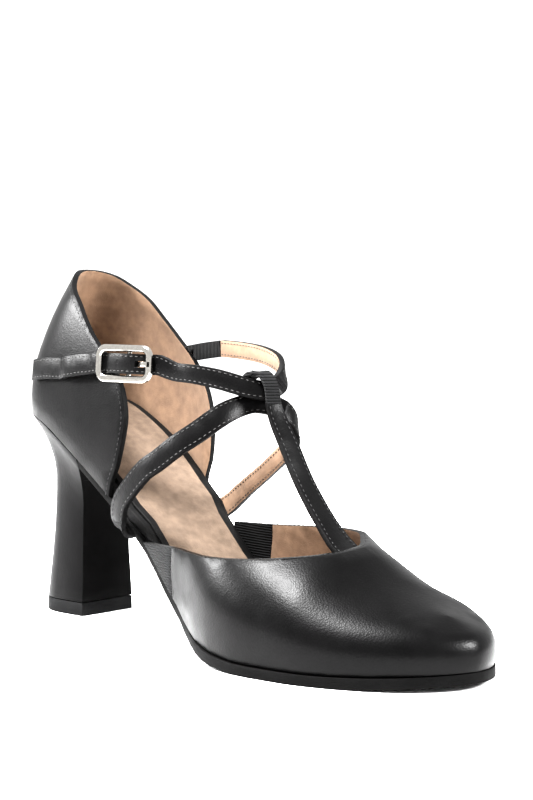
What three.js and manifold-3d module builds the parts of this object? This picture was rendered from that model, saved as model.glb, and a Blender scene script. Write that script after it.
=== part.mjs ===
// Right shoe for dancing: closed toe, open waist, covered heel, t-strap with crossed and ankle straps.
// Lengths are millimetres. +X runs from the heel to the toe, +Y to the inner side of the foot, +Z up.
import * as THREE from "three";
import { mergeVertices } from "three/addons/utils/BufferGeometryUtils.js";
import Module from "manifold-3d";

const wasm = await Module();
wasm.setup();

// The last: plan, pitch and toe
const SHOE_LENGTH = 228;
const SEAT_HEIGHT = 81;
const SEAT_WIDTH = 50.4;
const WAIST_WIDTH = 44.6;
const BALL_WIDTH = 75.4;
const SEAT_ROUND = 28;
const TOE_ROUND = 52;
const TOE_SWING = 10.2;
const TOE_SPRING = 2.4;
const CROWN_HEIGHT = 41;

// Bottom pieces
const SOLE_THICKNESS = 3.8;
const SHANK_THICKNESS = 2.7;
const SOLE_MARGIN = 0.9;
const BOARD_THICKNESS = 4.2;
const SOCK_THICKNESS = 1.2;
const SOCK_MARGIN = 2.2;

// Heel
const HEEL_TIP_THICKNESS = 5.2;
const HEEL_TIP_LENGTH = 27.5;
const HEEL_TIP_WIDTH = 27.5;
const BREAST_PLACE = 38.8;
const BREAST_REACH = 11.5;
const HEEL_TURN = 9;
const HEEL_SHIFT = -2.6;

// Upper
const VAMP_WALL = 1.8;
const QUARTER_WALL = 2;
const QUARTER_HEIGHT = 55;
const QUARTER_REACH = 80;
const THROAT_HEIGHT = 40.6;
const THROAT_TILT = 0.1;
const SEAM_PLACE = 113.5;

// Straps
const STRAP_WIDTH = 8;
const STRAP_THICKNESS = 2;
const T_STRAP_WIDTH = 9;
const T_STRAP_THICKNESS = 2;
const ELASTIC_WIDTH = 6.4;
const ELASTIC_THICKNESS = 1.6;

// Buckle, its prong and the tab that holds it
const BUCKLE_LENGTH = 26;
const BUCKLE_HEIGHT = 14;
const BUCKLE_BAR = 2.6;
const BUCKLE_DEPTH = 2;
const BUCKLE_ROUND = 4.4;
const BAR_DIAMETER = 1.8;
const BAR_DROP = 3.2;
const PRONG_WIDTH = 1.8;
const PRONG_THICKNESS = 1.4;
const EYE_WALL = 0.9;
const TAB_WIDTH = 6.6;
const TAB_THICKNESS = 1.6;
const CUP_GAP = 0.4;

// Gap left between pieces that touch on the real shoe
const CLEARANCE = 0.3;
const HALF_CLEARANCE = CLEARANCE / 2;

// Sections of the last. lift is a share of the pitch, width a share of the size named in of,
// swing a share of the toe's swing to the inner side.
const LAST_SECTIONS = [
  { along: 0.0, lift: 1.0, of: SEAT_WIDTH, width: 1.0, swing: 0.0 },
  { along: 0.1, lift: 0.948, of: SEAT_WIDTH, width: 1.0, swing: -0.05 },
  { along: 0.2, lift: 0.808, of: SEAT_WIDTH, width: 1.04, swing: 0.0 },
  { along: 0.3, lift: 0.626, of: SEAT_WIDTH, width: 0.986, swing: -0.045 },
  { along: 0.4, lift: 0.418, of: WAIST_WIDTH, width: 1.0, swing: -0.21 },
  { along: 0.5, lift: 0.184, of: WAIST_WIDTH, width: 1.054, swing: -0.39 },
  { along: 0.55, lift: 0.094, of: BALL_WIDTH, width: 0.715, swing: -0.37 },
  { along: 0.6, lift: 0.042, of: BALL_WIDTH, width: 0.835, swing: -0.33 },
  { along: 0.66, lift: 0.012, of: BALL_WIDTH, width: 0.95, swing: -0.17 },
  { along: 0.72, lift: 0.0, of: BALL_WIDTH, width: 1.0, swing: 0.06 },
  { along: 0.8, lift: 0.0, of: BALL_WIDTH, width: 0.985, swing: 0.37 },
  { along: 0.9, lift: 0.0, of: BALL_WIDTH, width: 0.965, swing: 0.74 },
  { along: 1.0, lift: 0.0, of: BALL_WIDTH, width: 0.95, swing: 1.0 },
];

// Top of the foot's arch over the forepart, as shares of the crown height at the throat.
const CROWN_SECTIONS = [
  { along: 0.38, crown: 2.3 },
  { along: 0.5, crown: 1.95 },
  { along: 0.62, crown: 1.5 },
  { along: 0.72, crown: 1.18 },
  { along: 0.79, crown: 1.0 },
  { along: 0.82, crown: 0.87 },
  { along: 0.86, crown: 0.73 },
  { along: 0.92, crown: 0.59 },
  { along: 1.0, crown: 0.45 },
];

// Slope of the arch on the inner side: 0.9 stands full, 1.2 falls away more.
const SHOULDER_SECTIONS = [
  { along: 0.38, slope: 0.9 },
  { along: 0.69, slope: 0.9 },
  { along: 0.74, slope: 1.1 },
  { along: 0.79, slope: 1.22 },
  { along: 0.84, slope: 1.1 },
  { along: 0.9, slope: 0.9 },
  { along: 1.0, slope: 0.9 },
];

// Edge of the outsole beyond the last, as shares of the sole margin.
const MARGIN_SECTIONS = [
  { along: 0.0, margin: -0.8 },
  { along: 0.42, margin: -0.8 },
  { along: 0.52, margin: -0.5 },
  { along: 0.66, margin: 1.0 },
  { along: 0.92, margin: 1.0 },
  { along: 1.0, margin: 0.2 },
];

// Heel cup by height: lean carries the back forward, taper narrows it.
const QUARTER_SECTIONS = [
  { rise: 0.0, lean: 0.0, taper: 1.0 },
  { rise: 0.13, lean: -0.004, taper: 1.005 },
  { rise: 0.22, lean: 0.005, taper: 1.0 },
  { rise: 0.35, lean: 0.035, taper: 0.975 },
  { rise: 0.48, lean: 0.09, taper: 0.935 },
  { rise: 0.65, lean: 0.17, taper: 0.86 },
  { rise: 0.8, lean: 0.25, taper: 0.77 },
  { rise: 0.96, lean: 0.345, taper: 0.64 },
  { rise: 1.15, lean: 0.46, taper: 0.5 },
];

// Front and top edge of the heel cup seen from the side, from the sole up and back.
const QUARTER_EDGE = [
  { forward: 0.86, up: -0.3 },
  { forward: 0.87, up: 0.03 },
  { forward: 0.92, up: 0.17 },
  { forward: 0.95, up: 0.31 },
  { forward: 0.955, up: 0.43 },
  { forward: 0.905, up: 0.57 },
  { forward: 0.805, up: 0.69 },
  { forward: 0.685, up: 0.79 },
  { forward: 0.585, up: 0.89 },
  { forward: 0.5, up: 0.985 },
  { forward: 0.4, up: 1.065 },
  { forward: 0.31, up: 1.13 },
  { forward: 0.18, up: 1.16 },
  { forward: -0.2, up: 1.17 },
];

// Seam between gore and vamp, ahead of its place in millimetres, by share of the throat's height.
const SEAM_EDGE = [
  { ahead: 9, up: -0.3 },
  { ahead: 6.5, up: 0.08 },
  { ahead: 2.6, up: 0.2 },
  { ahead: 0.4, up: 0.4 },
  { ahead: 0.0, up: 0.7 },
  { ahead: 0.8, up: 0.95 },
  { ahead: 2, up: 1.6 },
];

// Heel block under its seat: length and width are shares of the heel tip, front of its length.
const HEEL_SECTIONS = [
  { rise: 0.0, length: 1.0, width: 1.0, front: 0.0 },
  { rise: 0.16, length: 0.93, width: 0.965, front: -0.01 },
  { rise: 0.35, length: 0.85, width: 0.93, front: -0.03 },
  { rise: 0.55, length: 0.81, width: 0.92, front: -0.03 },
  { rise: 0.75, length: 0.8, width: 0.94, front: -0.01 },
  { rise: 1.0, length: 0.8, width: 0.96, front: 0.0 },
];

// Routes of the straps: along is a share of the shoe's length, aside of the ball's width and rise of
// the seat's height. yaw turns the outer face from the toe to the inner side and tip lifts it, in
// degrees; wide and thick are shares of the strap's own width and thickness.
const ANKLE_ROUTE = [
  { along: 0.4333, aside: -0.2095, rise: 1.2173, yaw: -72, tip: 3, wide: 0.84 },
  { along: 0.4689, aside: -0.1844, rise: 1.2111, yaw: -67, tip: 4, wide: 0.86 },
  { along: 0.507, aside: -0.1247, rise: 1.1926, yaw: -57, tip: 8, wide: 0.9 },
  { along: 0.5386, aside: -0.0398, rise: 1.1605, yaw: -46, tip: 12, wide: 0.88 },
  { along: 0.5509, aside: 0.0027, rise: 1.1481, yaw: -42, tip: 16, wide: 0.86 },
  { along: 0.5614, aside: 0.0477, rise: 1.1432, yaw: -28, tip: 18, wide: 0.86 },
  { along: 0.5667, aside: 0.0955, rise: 1.1605, yaw: -4, tip: 18, wide: 0.86 },
  { along: 0.564, aside: 0.1353, rise: 1.1938, yaw: 28, tip: 12, wide: 0.86 },
  { along: 0.5518, aside: 0.1724, rise: 1.2284, yaw: 52, tip: 8, wide: 0.84 },
  { along: 0.5263, aside: 0.2095, rise: 1.2605, yaw: 66, tip: 6, wide: 0.82 },
  { along: 0.4737, aside: 0.2546, rise: 1.2889, yaw: 75, tip: 4, wide: 0.8 },
  { along: 0.4061, aside: 0.2918, rise: 1.3025, yaw: 81, tip: 3, wide: 0.8 },
  { along: 0.3421, aside: 0.3103, rise: 1.3074, yaw: 84, tip: 3, wide: 0.8 },
];

const ELASTIC_ROUTE = [
  { along: 0.3382, aside: 0.3103, rise: 1.3062, yaw: 84, tip: 3, wide: 1 },
  { along: 0.2982, aside: 0.2944, rise: 1.2914, yaw: 83, tip: 3, wide: 1 },
  { along: 0.2675, aside: 0.2785, rise: 1.2765, yaw: 81, tip: 3, wide: 1 },
  { along: 0.2325, aside: 0.2586, rise: 1.2617, yaw: 80, tip: 4, wide: 1 },
];

const CROSS_ROUTE = [
  { along: 0.3724, aside: -0.3289, rise: 0.5025, yaw: -178, tip: -42, wide: 1.0 },
  { along: 0.3684, aside: -0.3581, rise: 0.4926, yaw: -150, tip: -45, wide: 1.0 },
  { along: 0.3658, aside: -0.3753, rise: 0.5037, yaw: -112, tip: -32, wide: 1.0 },
  { along: 0.3645, aside: -0.3873, rise: 0.5395, yaw: -97, tip: -10, wide: 1.0 },
  { along: 0.3684, aside: -0.3966, rise: 0.5815, yaw: -90, tip: 0, wide: 1.0 },
  { along: 0.3772, aside: -0.4019, rise: 0.6272, yaw: -88, tip: 5, wide: 1.0 },
  { along: 0.3934, aside: -0.4019, rise: 0.6765, yaw: -85, tip: 8, wide: 1.0 },
  { along: 0.4307, aside: -0.382, rise: 0.7815, yaw: -76, tip: 13, wide: 1.0 },
  { along: 0.4535, aside: -0.3581, rise: 0.8259, yaw: -70, tip: 15, wide: 1.0 },
  { along: 0.4851, aside: -0.3143, rise: 0.8988, yaw: -62, tip: 18, wide: 1.0 },
  { along: 0.5114, aside: -0.2493, rise: 0.963, yaw: -50, tip: 20, wide: 1.0 },
  { along: 0.5289, aside: -0.1406, rise: 1.0395, yaw: -28, tip: 20, wide: 1.0 },
  { along: 0.5329, aside: -0.0451, rise: 1.0716, yaw: -20, tip: 18, wide: 0.92 },
  { along: 0.5399, aside: 0.0212, rise: 1.0852, yaw: -22, tip: 15, wide: 0.9 },
  { along: 0.5509, aside: 0.0875, rise: 1.0765, yaw: -18, tip: 12, wide: 0.88 },
  { along: 0.5658, aside: 0.1379, rise: 1.0568, yaw: -2, tip: 10, wide: 0.88 },
  { along: 0.5737, aside: 0.1804, rise: 1.0074, yaw: 25, tip: 12, wide: 0.86 },
  { along: 0.5675, aside: 0.2202, rise: 0.9506, yaw: 48, tip: 14, wide: 0.84 },
  { along: 0.5509, aside: 0.2454, rise: 0.8951, yaw: 62, tip: 15, wide: 0.82 },
  { along: 0.5202, aside: 0.2653, rise: 0.842, yaw: 76, tip: 15, wide: 0.8 },
  { along: 0.4632, aside: 0.2918, rise: 0.7444, yaw: 82, tip: 12, wide: 0.8 },
  { along: 0.4079, aside: 0.3183, rise: 0.658, yaw: 85, tip: 8, wide: 0.84 },
  { along: 0.3798, aside: 0.3302, rise: 0.6099, yaw: 88, tip: 2, wide: 0.9 },
  { along: 0.357, aside: 0.3395, rise: 0.5704, yaw: 91, tip: -4, wide: 0.95 },
  { along: 0.3386, aside: 0.3302, rise: 0.5383, yaw: 99, tip: -14, wide: 1.0 },
  { along: 0.3263, aside: 0.313, rise: 0.5185, yaw: 108, tip: -26, wide: 1.0 },
];

const T_STRAP_ROUTE = [
  { along: 0.8096, aside: 0.0743, rise: 0.4049, yaw: 0, tip: 56, wide: 1.3, thick: 1 },
  { along: 0.7895, aside: 0.0743, rise: 0.4383, yaw: 0, tip: 58, wide: 1.34, thick: 1 },
  { along: 0.7675, aside: 0.0716, rise: 0.463, yaw: 0, tip: 64, wide: 1.34, thick: 1 },
  { along: 0.7417, aside: 0.0676, rise: 0.4889, yaw: 0, tip: 60, wide: 1.22, thick: 1 },
  { along: 0.7, aside: 0.0637, rise: 0.5889, yaw: 0, tip: 47, wide: 0.98, thick: 1 },
  { along: 0.6491, aside: 0.057, rise: 0.7568, yaw: -3, tip: 36, wide: 0.87, thick: 1 },
  { along: 0.6114, aside: 0.0517, rise: 0.9235, yaw: -8, tip: 29, wide: 0.82, thick: 1 },
  { along: 0.593, aside: 0.0477, rise: 1.0037, yaw: -12, tip: 28, wide: 0.76, thick: 0.9 },
  { along: 0.5829, aside: 0.0424, rise: 1.0642, yaw: -16, tip: 20, wide: 0.66, thick: 0.75 },
  { along: 0.5789, aside: 0.0385, rise: 1.1259, yaw: -18, tip: 12, wide: 0.58, thick: 0.7 },
  { along: 0.5746, aside: 0.0345, rise: 1.1778, yaw: -18, tip: 28, wide: 0.58, thick: 0.7 },
  { along: 0.561, aside: 0.0265, rise: 1.2198, yaw: -18, tip: 70, wide: 0.58, thick: 0.7 },
  { along: 0.5465, aside: 0.0172, rise: 1.2198, yaw: -18, tip: 112, wide: 0.58, thick: 0.7 },
];

const LOOP_ROUTE = [
  { along: 0.5491, aside: 0.0186, rise: 1.2198, yaw: -18, tip: 108, wide: 0.54, thick: 0.62 },
  { along: 0.5325, aside: 0.0133, rise: 1.2012, yaw: -18, tip: 140, wide: 0.56, thick: 0.7 },
  { along: 0.5259, aside: 0.0106, rise: 1.1457, yaw: -18, tip: 168, wide: 0.58, thick: 0.7 },
  { along: 0.5237, aside: 0.0093, rise: 1.0914, yaw: -18, tip: 176, wide: 0.58, thick: 0.7 },
  { along: 0.5232, aside: 0.0106, rise: 1.0481, yaw: -18, tip: 184, wide: 0.56, thick: 0.6 },
];

// Tail of the ankle strap on the heel cup, by shares of the cup's reach and height; over is 1 where
// the buckle's tab lies beneath.
const TAIL_ROUTE = [
  { forward: 0.25, up: 0.3273, wide: 1.04, over: 0 },
  { forward: 0.3, up: 0.36, wide: 1.04, over: 0 },
  { forward: 0.3625, up: 0.4036, wide: 1.03, over: 0 },
  { forward: 0.425, up: 0.4473, wide: 1.03, over: 0 },
  { forward: 0.4875, up: 0.5018, wide: 1.02, over: 0 },
  { forward: 0.525, up: 0.5382, wide: 1.01, over: 0.9 },
  { forward: 0.5625, up: 0.5745, wide: 1.01, over: 1 },
  { forward: 0.6375, up: 0.6509, wide: 1, over: 1 },
  { forward: 0.7125, up: 0.7255, wide: 0.98, over: 1 },
];

const BUCKLE_SPOT = { along: 0.3482, aside: -0.3276, rise: 1.2469, yaw: -74, tip: 4, wide: 0.94 };

// Monotone cubic curve through one named column of a table.
function columnCurve(rows, place, value) {
  const at = rows.map((row) => row[place]);
  const amount = rows.map((row) => value(row));
  const slopes = at.slice(1).map((end, i) => (amount[i + 1] - amount[i]) / (end - at[i]));
  const tangents = at.map((_, i) => {
    if (i === 0) return slopes[0];
    if (i === at.length - 1) return slopes[i - 1];
    const product = slopes[i - 1] * slopes[i];
    return product <= 0 ? 0 : (2 * product) / (slopes[i - 1] + slopes[i]);
  });
  return (query) => {
    const t = THREE.MathUtils.clamp(query, at[0], at[at.length - 1]);
    let i = 0;
    while (i < at.length - 2 && t > at[i + 1]) i += 1;
    const span = at[i + 1] - at[i];
    const s = (t - at[i]) / span;
    const blend = s * s * (3 - 2 * s);
    const start = s * (1 - s) * (1 - s) * span;
    const end = s * s * (s - 1) * span;
    return amount[i] * (1 - blend) + amount[i + 1] * blend + tangents[i] * start + tangents[i + 1] * end;
  };
}

const liftAt = columnCurve(LAST_SECTIONS, "along", (row) => row.lift);
const widthAt = columnCurve(LAST_SECTIONS, "along", (row) => row.of * row.width);
const swingAt = columnCurve(LAST_SECTIONS, "along", (row) => row.swing);
const crownAt = columnCurve(CROWN_SECTIONS, "along", (row) => row.crown);
const shoulderAt = columnCurve(SHOULDER_SECTIONS, "along", (row) => row.slope);
const marginAt = columnCurve(MARGIN_SECTIONS, "along", (row) => row.margin);
const leanAt = columnCurve(QUARTER_SECTIONS, "rise", (row) => row.lean);
const taperAt = columnCurve(QUARTER_SECTIONS, "rise", (row) => row.taper);
const heelLengthAt = columnCurve(HEEL_SECTIONS, "rise", (row) => row.length);
const heelWidthAt = columnCurve(HEEL_SECTIONS, "rise", (row) => row.width);
const heelFrontAt = columnCurve(HEEL_SECTIONS, "rise", (row) => row.front);

const TOE_SPRING_START = 0.8;
const TOE_FULLNESS = 0.6;
const OUTER = -1;
const INNER = 1;

// Height of the feather line, where the upper meets the sole.
function featherHeight(x) {
  const along = x / SHOE_LENGTH;
  const spring = Math.max(0, (along - TOE_SPRING_START) / (1 - TOE_SPRING_START));
  return SOLE_THICKNESS + liftAt(along) * (SEAT_HEIGHT - SOLE_THICKNESS) + TOE_SPRING * spring * spring;
}

function axisOffset(x) {
  return TOE_SWING * swingAt(x / SHOE_LENGTH);
}

// Half width of the last at the feather line, rounded at the seat and at the toe.
function halfWidth(x) {
  const half = widthAt(x / SHOE_LENGTH) / 2;
  const seat = Math.min(1, Math.max(0, (SEAT_ROUND - x) / SEAT_ROUND));
  const toe = Math.min(1, Math.max(0, (x - SHOE_LENGTH + TOE_ROUND) / TOE_ROUND));
  return half * Math.sqrt(1 - seat * seat) * Math.pow(1 - toe * toe, TOE_FULLNESS);
}

// Places along the shoe, close together towards an end that is round.
function placesAlong(from, to, count, roundStart, roundEnd) {
  return Array.from({ length: count + 1 }, (_, i) => {
    const t = i / count;
    let eased = t;
    if (roundStart && roundEnd) eased = (1 - Math.cos(Math.PI * t)) / 2;
    else if (roundEnd) eased = Math.sin((Math.PI / 2) * t);
    else if (roundStart) eased = 1 - Math.cos((Math.PI / 2) * t);
    return from + (to - from) * eased;
  });
}

// Both edges of the last's plan at the given places, grown outwards by a distance.
function planEdges(places, grow) {
  const edge = (side) => places.map((x) => new THREE.Vector2(x, axisOffset(x) + side * halfWidth(x)));
  const grown = (side) => {
    const points = edge(side);
    return points.map((point, i) => {
      const before = points[Math.max(0, i - 1)];
      const after = points[Math.min(points.length - 1, i + 1)];
      const along = new THREE.Vector2().subVectors(after, before).normalize();
      const away = new THREE.Vector2(-along.y, along.x).multiplyScalar(side * grow(point.x));
      return point.clone().add(away);
    });
  };
  return { outer: grown(OUTER), inner: grown(INNER) };
}

// Closed mesh from points and faces; equal points become one.
function closedGeometry(points, faces) {
  const raw = new THREE.BufferGeometry();
  raw.setAttribute("position", new THREE.Float32BufferAttribute(points.flatMap((p) => [p.x, p.y, p.z]), 3));
  raw.setIndex(faces.flat());
  return mergeVertices(raw, 1e-4);
}

function quad(faces, a, b, c, d) {
  faces.push([a, b, c], [a, c, d]);
}

// Solid through rings of equal length, closed with a fan at each end.
function loftRings(rings) {
  const count = rings[0].length;
  const points = rings.flat();
  const faces = [];
  for (let i = 0; i < rings.length - 1; i += 1) {
    for (let j = 0; j < count; j += 1) {
      const k = (j + 1) % count;
      quad(faces, i * count + j, i * count + k, (i + 1) * count + k, (i + 1) * count + j);
    }
  }
  const last = (rings.length - 1) * count;
  for (let j = 1; j < count - 1; j += 1) {
    faces.push([0, j + 1, j], [last, last + j, last + j + 1]);
  }
  return closedGeometry(points, faces);
}

// Layer that follows the last's bottom between two heights above the feather line.
function bottomLayer({ from, to, rows, grow, top, bottom, roundStart, roundEnd }) {
  const places = placesAlong(from, to, rows, roundStart, roundEnd);
  const { outer, inner } = planEdges(places, grow);
  const rings = places.map((_, i) => {
    const corner = (edge, level) => {
      const p = edge[i];
      return new THREE.Vector3(p.x, p.y, featherHeight(p.x) + level(p.x));
    };
    return [corner(outer, bottom), corner(inner, bottom), corner(inner, top), corner(outer, top)];
  });
  return loftRings(rings);
}

function vertexNormals(points, faces) {
  const normals = points.map(() => new THREE.Vector3());
  const ab = new THREE.Vector3();
  const ac = new THREE.Vector3();
  for (const [a, b, c] of faces) {
    ab.subVectors(points[b], points[a]);
    ac.subVectors(points[c], points[a]);
    const area = ab.cross(ac);
    for (const corner of [a, b, c]) normals[corner].add(area);
  }
  return normals.map((normal) => normal.normalize());
}

// Hollow wall behind a grid of outer points, whose first and last columns stand on the feather line.
function wallFromGrid(grid, wall) {
  const width = grid[0].length;
  const flat = grid.flat();
  const gridFaces = [];
  for (let i = 0; i < grid.length - 1; i += 1) {
    for (let j = 0; j < width - 1; j += 1) {
      quad(gridFaces, i * width + j, (i + 1) * width + j, (i + 1) * width + j + 1, i * width + j + 1);
    }
  }
  const keyOf = (p) => `${p.x.toFixed(4)},${p.y.toFixed(4)},${p.z.toFixed(4)}`;
  const seen = new Map();
  const outside = [];
  const merged = flat.map((p) => {
    const key = keyOf(p);
    if (!seen.has(key)) {
      seen.set(key, outside.length);
      outside.push(p);
    }
    return seen.get(key);
  });
  const faces = gridFaces
    .map((face) => face.map((corner) => merged[corner]))
    .filter(([a, b, c]) => a !== b && b !== c && c !== a);
  const normals = vertexNormals(outside, faces);
  const inside = outside.map((p, i) => {
    const q = p.clone().addScaledVector(normals[i], -wall);
    const onFeather = Math.abs(p.z - featherHeight(p.x) - HALF_CLEARANCE) < 1e-6;
    if (onFeather) q.z = featherHeight(q.x) + HALF_CLEARANCE;
    return q;
  });
  const count = outside.length;
  const open = new Map();
  for (const [a, b, c] of faces) {
    for (const [start, end] of [[a, b], [b, c], [c, a]]) {
      const back = `${end},${start}`;
      if (open.has(back)) open.delete(back);
      else open.set(`${start},${end}`, [start, end]);
    }
  }
  const all = faces.concat(faces.map(([a, b, c]) => [a + count, c + count, b + count]));
  for (const [start, end] of open.values()) {
    quad(all, end, start, start + count, end + count);
  }
  return closedGeometry(outside.concat(inside), all);
}

function toSolid(geometry) {
  const bare = geometry.clone();
  bare.deleteAttribute("normal");
  bare.deleteAttribute("uv");
  const merged = mergeVertices(bare, 1e-4);
  const mesh = new wasm.Mesh({
    numProp: 3,
    vertProperties: new Float32Array(merged.attributes.position.array),
    triVerts: new Uint32Array(merged.index.array),
  });
  return new wasm.Manifold(mesh);
}

function toGeometry(solid) {
  const mesh = solid.getMesh();
  const geometry = new THREE.BufferGeometry();
  const positions = new Float32Array((mesh.vertProperties.length / mesh.numProp) * 3);
  for (let i = 0; i < positions.length / 3; i += 1) {
    for (let k = 0; k < 3; k += 1) positions[3 * i + k] = mesh.vertProperties[mesh.numProp * i + k];
  }
  geometry.setAttribute("position", new THREE.BufferAttribute(positions, 3));
  geometry.setIndex(new THREE.BufferAttribute(new Uint32Array(mesh.triVerts), 1));
  return geometry;
}

// Prism of a side outline in X and Z across the whole width, its points moved by a shear along Y.
function sidePrism(outline, shear) {
  const shape = new THREE.Shape(outline.map(([x, z]) => new THREE.Vector2(x, z)));
  const prism = new THREE.ExtrudeGeometry(shape, { depth: 2 * BALL_WIDTH, bevelEnabled: false });
  prism.rotateX(Math.PI / 2);
  prism.translate(0, BALL_WIDTH, 0);
  const place = prism.attributes.position;
  for (let i = 0; i < place.count; i += 1) {
    place.setX(i, place.getX(i) + shear.x * place.getY(i));
    place.setZ(i, place.getZ(i) + shear.z * place.getY(i));
  }
  return toSolid(prism);
}

// Outsole, insole board and sock

function outsole() {
  const thickness = (x) => {
    const flat = THREE.MathUtils.smoothstep(x / SHOE_LENGTH, 0.4, 0.66);
    const slope = (featherHeight(x + 1) - featherHeight(x - 1)) / 2;
    return (SHANK_THICKNESS + (SOLE_THICKNESS - SHANK_THICKNESS) * flat) * Math.hypot(1, slope);
  };
  return bottomLayer({
    from: BREAST_PLACE + BREAST_REACH + CLEARANCE,
    to: SHOE_LENGTH - CLEARANCE,
    rows: 40,
    grow: (x) => SOLE_MARGIN * marginAt(x / SHOE_LENGTH),
    top: () => -HALF_CLEARANCE,
    bottom: (x) => Math.max(-thickness(x), -featherHeight(x)),
    roundStart: false,
    roundEnd: true,
  });
}

const BOARD_INSET = QUARTER_WALL + CLEARANCE;
const WAIST_GROWTH = 1.4;
const WAIST_FROM = 0.32;
const WAIST_TO = 0.4;

// Between heel cup and gores no wall stands beside the board, so it comes out to the edge.
function waistGrowth(x) {
  const share = THREE.MathUtils.clamp((x / SHOE_LENGTH - WAIST_FROM) / (WAIST_TO - WAIST_FROM), 0, 1);
  return WAIST_GROWTH * Math.sin(Math.PI * share) ** 2;
}

function insoleBoard() {
  return bottomLayer({
    from: 0.4,
    to: SHOE_LENGTH - 0.4,
    rows: 44,
    grow: (x) => -BOARD_INSET + waistGrowth(x),
    top: () => HALF_CLEARANCE + BOARD_THICKNESS,
    bottom: () => HALF_CLEARANCE,
    roundStart: true,
    roundEnd: true,
  });
}

function sock() {
  const base = HALF_CLEARANCE + BOARD_THICKNESS + CLEARANCE;
  return bottomLayer({
    from: 0.4,
    to: SHOE_LENGTH - 0.4,
    rows: 44,
    grow: (x) => -BOARD_INSET - SOCK_MARGIN + waistGrowth(x),
    top: () => base + SOCK_THICKNESS,
    bottom: () => base,
    roundStart: true,
    roundEnd: true,
  });
}

// Heel block and its tip: a d-shaped outline that flares into the seat

const HEEL_CURVE_STEPS = 14;
const HEEL_BACK_SHARE = 0.58;
const HEEL_SQUARENESS = 0.86;
const FLARE_START = 0.6;

function heelOutline(rise) {
  const length = HEEL_TIP_LENGTH * heelLengthAt(rise);
  const half = (HEEL_TIP_WIDTH * heelWidthAt(rise)) / 2;
  const front = BREAST_PLACE + HEEL_TIP_LENGTH * heelFrontAt(rise);
  const depth = length * HEEL_BACK_SHARE;
  const points = [];
  for (let i = 0; i <= HEEL_CURVE_STEPS; i += 1) {
    const angle = (Math.PI * i) / HEEL_CURVE_STEPS - Math.PI / 2;
    const x = front - length + depth * (1 - Math.pow(Math.cos(angle), HEEL_SQUARENESS));
    const y = half * Math.sign(angle) * Math.pow(Math.abs(Math.sin(angle)), HEEL_SQUARENESS);
    points.push(new THREE.Vector2(x, y));
  }
  points.unshift(new THREE.Vector2(front, -half));
  points.push(new THREE.Vector2(front, half));
  const turn = THREE.MathUtils.degToRad(HEEL_TURN);
  const breast = new THREE.Vector2(BREAST_PLACE, 0);
  const shift = new THREE.Vector2(0, HEEL_SHIFT);
  return points.map((p) => p.rotateAround(breast, turn).add(shift));
}

function seatOutline() {
  const front = BREAST_PLACE + BREAST_REACH;
  const at = (x, side) => new THREE.Vector2(x, axisOffset(x) + side * halfWidth(x));
  const points = [];
  for (let i = 0; i <= HEEL_CURVE_STEPS; i += 1) {
    const angle = (Math.PI * i) / HEEL_CURVE_STEPS - Math.PI / 2;
    const x = SEAT_ROUND * (1 - Math.cos(angle));
    points.push(at(x, Math.sign(angle)));
  }
  points.unshift(at(front, OUTER));
  points.push(at(front, INNER));
  return points;
}

function heel() {
  const rows = 12;
  const seat = seatOutline();
  const bottom = HEEL_TIP_THICKNESS + CLEARANCE;
  const rings = Array.from({ length: rows + 1 }, (_, i) => {
    const rise = i / rows;
    const block = heelOutline(rise);
    const flare = Math.pow(Math.max(0, (rise - FLARE_START) / (1 - FLARE_START)), 2.1);
    return seat.map((edge, j) => {
      const p = block[j].clone().lerp(edge, flare);
      const top = featherHeight(edge.x) - HALF_CLEARANCE;
      return new THREE.Vector3(p.x, p.y, bottom + (top - bottom) * rise);
    });
  });
  return loftRings(rings.map((ring) => ring.reverse()));
}

function heelTip() {
  const outline = heelOutline(0);
  const ring = (z) => outline.map((p) => new THREE.Vector3(p.x, p.y, z)).reverse();
  return loftRings([ring(0), ring(HEEL_TIP_THICKNESS)]);
}

// Forepart wall: arches over the last from one feather edge to the other

const ARCH_FULLNESS = 0.9;
const ARCH_BULGE = 0.15;
const CROWN_SHIFT = 2;
const APEX_PLACE = 0.86;
const APEX_CROWD = 0.45;
const APEX_BLEND = 16;

// Place of a row's crown, drawn together towards the apex of the toe.
function crownPlace(x) {
  const ahead = THREE.MathUtils.clamp(x - APEX_PLACE * SHOE_LENGTH, -APEX_BLEND, APEX_BLEND);
  const beyond = Math.max(0, x - APEX_PLACE * SHOE_LENGTH - APEX_BLEND);
  const eased = (ahead + APEX_BLEND) ** 2 / (4 * APEX_BLEND) + beyond;
  return x - (1 - APEX_CROWD) * eased;
}

function archRow(x, steps) {
  const crownX = crownPlace(x);
  const base = featherHeight(x) + HALF_CLEARANCE;
  const crown = new THREE.Vector3(
    crownX,
    axisOffset(crownX) + CROWN_SHIFT,
    CROWN_HEIGHT * crownAt(crownX / SHOE_LENGTH),
  );
  const point = (side, angle) => {
    const slope = side === INNER ? shoulderAt(x / SHOE_LENGTH) : ARCH_FULLNESS;
    const foot = new THREE.Vector2(x, axisOffset(x) + side * halfWidth(x));
    const bulge = 1 + ARCH_BULGE * Math.sin(2 * angle) * Math.cos(angle) ** 2;
    const reach = Math.pow(Math.cos(angle), slope) * bulge;
    const rise = Math.pow(Math.sin(angle), slope);
    const plan = new THREE.Vector2(crown.x, crown.y).lerp(foot, reach);
    return new THREE.Vector3(plan.x, plan.y, base + (crown.z - base) * rise);
  };
  const row = [];
  for (let j = 0; j < steps; j += 1) row.push(point(OUTER, (Math.PI / 2) * (j / steps)));
  row.push(crown);
  for (let j = steps - 1; j >= 0; j -= 1) row.push(point(INNER, (Math.PI / 2) * (j / steps)));
  return row;
}

const FOREPART_START = 92;

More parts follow.
